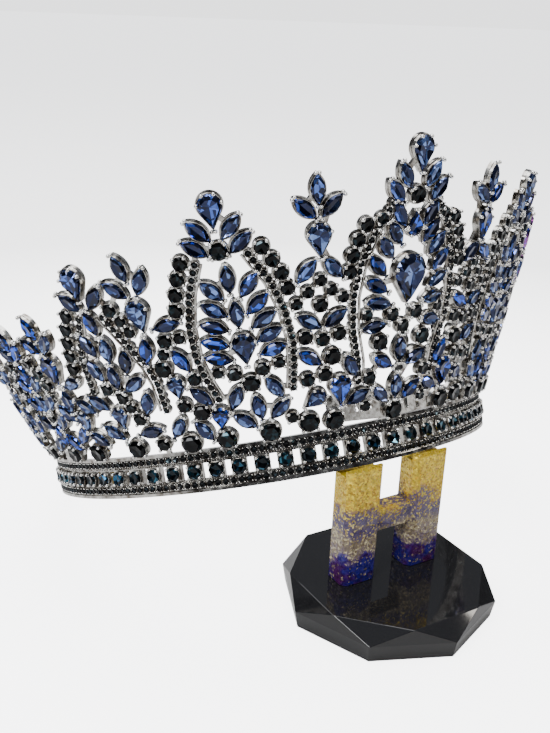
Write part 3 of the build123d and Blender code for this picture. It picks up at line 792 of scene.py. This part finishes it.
# Rows of stones on the band and up the arches
rows = {"midPitch": 6.6, "seedPitch": 2.3, "upperRow": 4.1, "lowerRow": -3.6, "legPitch": 2.15}
bandArc = radians(crown["bandEnd"]) * crown["bandRadius"]
midCount = int(bandArc / rows["midPitch"])
midPlaces = [(bandPlace(number * rows["midPitch"], 0.0), 1.0) for number in range(-midCount, midCount + 1)]
seedCount = int((bandArc + 3.0) / rows["seedPitch"])
seedPlaces = [(bandPlace(number * rows["seedPitch"], height), 1.0)
              for number in range(-seedCount, seedCount + 1)
              for height in (rows["upperRow"], rows["lowerRow"])]
legPlaces = [(wallPlace(angleAt(archAngle, side, x, rise), rise), 1.0)
             for archAngle, _, leg in legs for side in (-1, 1)
             for x, rise in pointsAlong(leg, rows["legPitch"])]
finishPiece(placeCopies("bandStones", shapes["bandRound"], midPlaces, tealGlass, 21), "dark_glass")
finishPiece(placeCopies("bandSeedStones", shapes["seed"], seedPlaces, darkGlass, 22), "dark_glass")
finishPiece(placeCopies("archSeedStones", shapes["seed"], legPlaces, darkGlass, 23), "dark_glass")
print("rows of stones placed")

# Cups and claws
held = [(cut, place) for _, cut, place in stones] + [("bandRound", place) for place, _ in midPlaces]
held += [("seed", place) for place, _ in seedPlaces + legPlaces]
cupParts = []
for cut in cuts:
    places = [(place, 1.0) for other, place in held if other == cut]
    cupParts.append(placeCopies(cut + "Cups", cups[cut], places, shadedSilver))
finishPiece(joined("stoneCups", cupParts), "silver_metal")
clawBall = ballShape("clawBall", cup["claw"], cup["clawTall"], 2)
seedBall = ballShape("seedBall", cup["claw"] * cup["seedClaw"], cup["clawTall"], 1)
clawSpots = [(cut, (place @ Matrix.Translation(spot), 1.0))
             for cut, place in held for spot in clawPlaces(cut)]
for name, ball, small in (("stoneClaws", clawBall, False), ("seedClaws", seedBall, True)):
    spots = [spot for cut, spot in clawSpots if (cut == "seed") == small]
    finishPiece(placeCopies(name, ball, spots, paintedHighlightSilver), "silver_metal")
print("cups and claws made")

# Fine beads along the edges of the band
beads = {"pitch": 0.78, "radius": 0.3, "heights": (5.55, 2.75, -2.3, -5.2), "out": -0.75}
beadBall = ballShape("beadBall", beads["radius"], 1.0, 1)
beadCount = int((bandArc + 4.0) / beads["pitch"])
beadSpots = [(bandPlace(number * beads["pitch"], height, beads["out"]), 1.0)
             for height in beads["heights"] for number in range(-beadCount, beadCount + 1)]
finishPiece(placeCopies("bandBeads", beadBall, beadSpots, shadedSilver), "silver_metal")

# Wires that edge the arches
wires = {"radius": 0.00042, "inset": 1.75, "out": -0.55, "step": 1.0}
points, edges = [], []
for archAngle, legSide, leg in legs:
    inner = [(x - legSide * wires["inset"], rise) for x, rise in leg]
    for side in (-1, 1):
        begin = len(points)
        for x, rise in pointsAlong(inner, wires["step"]):
            place = toMetres @ wallPlace(angleAt(archAngle, side, x, rise), rise, out=wires["out"])
            points.append(place.to_translation())
        edges += [(number, number + 1) for number in range(begin, len(points) - 1)]
paths = bpy.data.meshes.new("archPaths")
paths.from_pydata(points, edges, [])
archWires = bake("archWires", paths, alongPath, {"Radius": wires["radius"], "Finish": shadedSilver})
finishPiece(archWires, "silver_metal")
print("beads and wires made")

for shape in list(shapes.values()) + list(cups.values()) + [clawBall, seedBall, beadBall]:
    bpy.data.objects.remove(shape)


# Metalwork and stand as the solids have them, with their own finish
def dress(node, finish, bevel=0.0):
    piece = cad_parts[node]
    piece.data.materials.clear()
    piece.data.materials.append(finish)
    if bevel:
        weld = piece.modifiers.new("weld", "WELD")
        weld.merge_threshold = 0.00001
        edge = piece.modifiers.new("edge", "BEVEL")
        edge.width = bevel
        edge.segments = 3
        edge.limit_method = "ANGLE"
        edge.angle_limit = radians(15)


dress("metal_frame", shadedSilver)
dress("stand_posts", resin, 0.0007)
dress("stand_base", black, 0.00015)
print("stand and metal dressed")


# Floor, backdrop, light and camera
def plane(name, corners, colour, rough):
    mesh = bpy.data.meshes.new(name)
    mesh.from_pydata(corners, [], [(0, 1, 2, 3)])
    material, _, _ = newMaterial(name + "Finish", Roughness=rough)
    material.node_tree.nodes["Principled BSDF"].inputs["Base Color"].default_value = colour
    mesh.materials.append(material)
    thing = link(bpy.data.objects.new(name, mesh))
    return thing


def softLight(name, place, aim, size, power, colour):
    light = bpy.data.lights.new(name, "AREA")
    light.size = size
    light.energy = power
    light.color = colour
    lamp = link(bpy.data.objects.new(name, light))
    lamp.location = place
    lamp.rotation_euler = (Vector(aim) - Vector(place)).to_track_quat("-Z", "Y").to_euler()


studio = {
    "floor": (0.80, 0.795, 0.79, 1), "reach": 12.0, "pale": (0.98, 0.985, 1.0, 1),
    "near": 5.0, "backdrop": 2.3, "nearEdge": 0.12, "farEdge": 0.42,    # the floor's glow, near and far
    "room": (0.86, 0.90, 1.0, 1), "low": 0.05, "high": 0.45,            # what the stones mirror
}
far = studio["reach"]
floorCorners = ((-far, -far, 0), (far, -far, 0), (far, far, 0), (-far, far, 0))
floor = plane("floor", floorCorners, studio["floor"], 0.5)
table = floor.data.materials[0].node_tree
tableShader = table.nodes["Principled BSDF"]
# Painted light: the floor glows for camera rays only, brightest round the crown and fading further out, so
# it reads as a lit table and its shadows wash out.
seen = addNode(table, "ShaderNodeLightPath").outputs["Is Camera Ray"]
distance = addNode(table, "ShaderNodeVectorMath", operation="LENGTH")
table.links.new(addNode(table, "ShaderNodeTexCoord").outputs["Object"], distance.inputs[0])
glow = rangeNode(table, distance.outputs["Value"], studio["nearEdge"], studio["farEdge"],
                 studio["near"], studio["backdrop"])
table.links.new(mathNode(table, "MULTIPLY", seen, glow), tableShader.inputs["Emission Strength"])
tableShader.inputs["Emission Color"].default_value = studio["pale"]

# The room: pale where the camera looks past the floor, and darker for all that mirrors it.
world = bpy.data.worlds.new("studio")
bpy.context.scene.world = world
world.use_nodes = True
sky = world.node_tree
sky.nodes.clear()
direction = addNode(sky, "ShaderNodeSeparateXYZ")
sky.links.new(addNode(sky, "ShaderNodeTexCoord").outputs["Generated"], direction.inputs[0])
room = addNode(sky, "ShaderNodeBackground")
brighterUp = rangeNode(sky, direction.outputs["Z"], 0.15, 0.9, studio["low"], studio["high"])
sky.links.new(brighterUp, room.inputs["Strength"])
room.inputs["Color"].default_value = studio["room"]
backdrop = addNode(sky, "ShaderNodeBackground")
backdrop.inputs["Color"].default_value = studio["pale"]
backdrop.inputs["Strength"].default_value = studio["backdrop"]
either = addNode(sky, "ShaderNodeMixShader")
sky.links.new(addNode(sky, "ShaderNodeLightPath").outputs["Is Camera Ray"], either.inputs[0])
sky.links.new(room.outputs[0], either.inputs[1])
sky.links.new(backdrop.outputs[0], either.inputs[2])
sky.links.new(either.outputs[0], addNode(sky, "ShaderNodeOutputWorld").inputs["Surface"])

# Lights: name, place, aim, size, power, colour.
lights = (
    ("overhead", (-0.1, 0.25, 1.0), (0, 0, 0), 1.0, 14.0, (1, 1, 1)),
    ("leftKey", (-0.9, -0.35, 0.75), (0, 0, 0.05), 0.35, 8.0, (1, 1, 1)),
    ("rightFill", (0.8, -0.6, 0.6), (0, 0, 0.05), 0.25, 4.0, (1.0, 0.94, 0.86)),
)
for row in lights:
    softLight(*row)

view = {"place": (-0.1557, -0.2284, 0.1658), "turn": (68.91, -2.265, -30.52), "lens": 45.65}
camera = link(bpy.data.objects.new("camera", bpy.data.cameras.new("camera")))
camera.location = view["place"]
camera.rotation_euler = [radians(turn) for turn in view["turn"]]
camera.data.lens = view["lens"]
camera.data.clip_start = 0.01
bpy.context.scene.camera = camera
print("studio set")

print("scene ready")
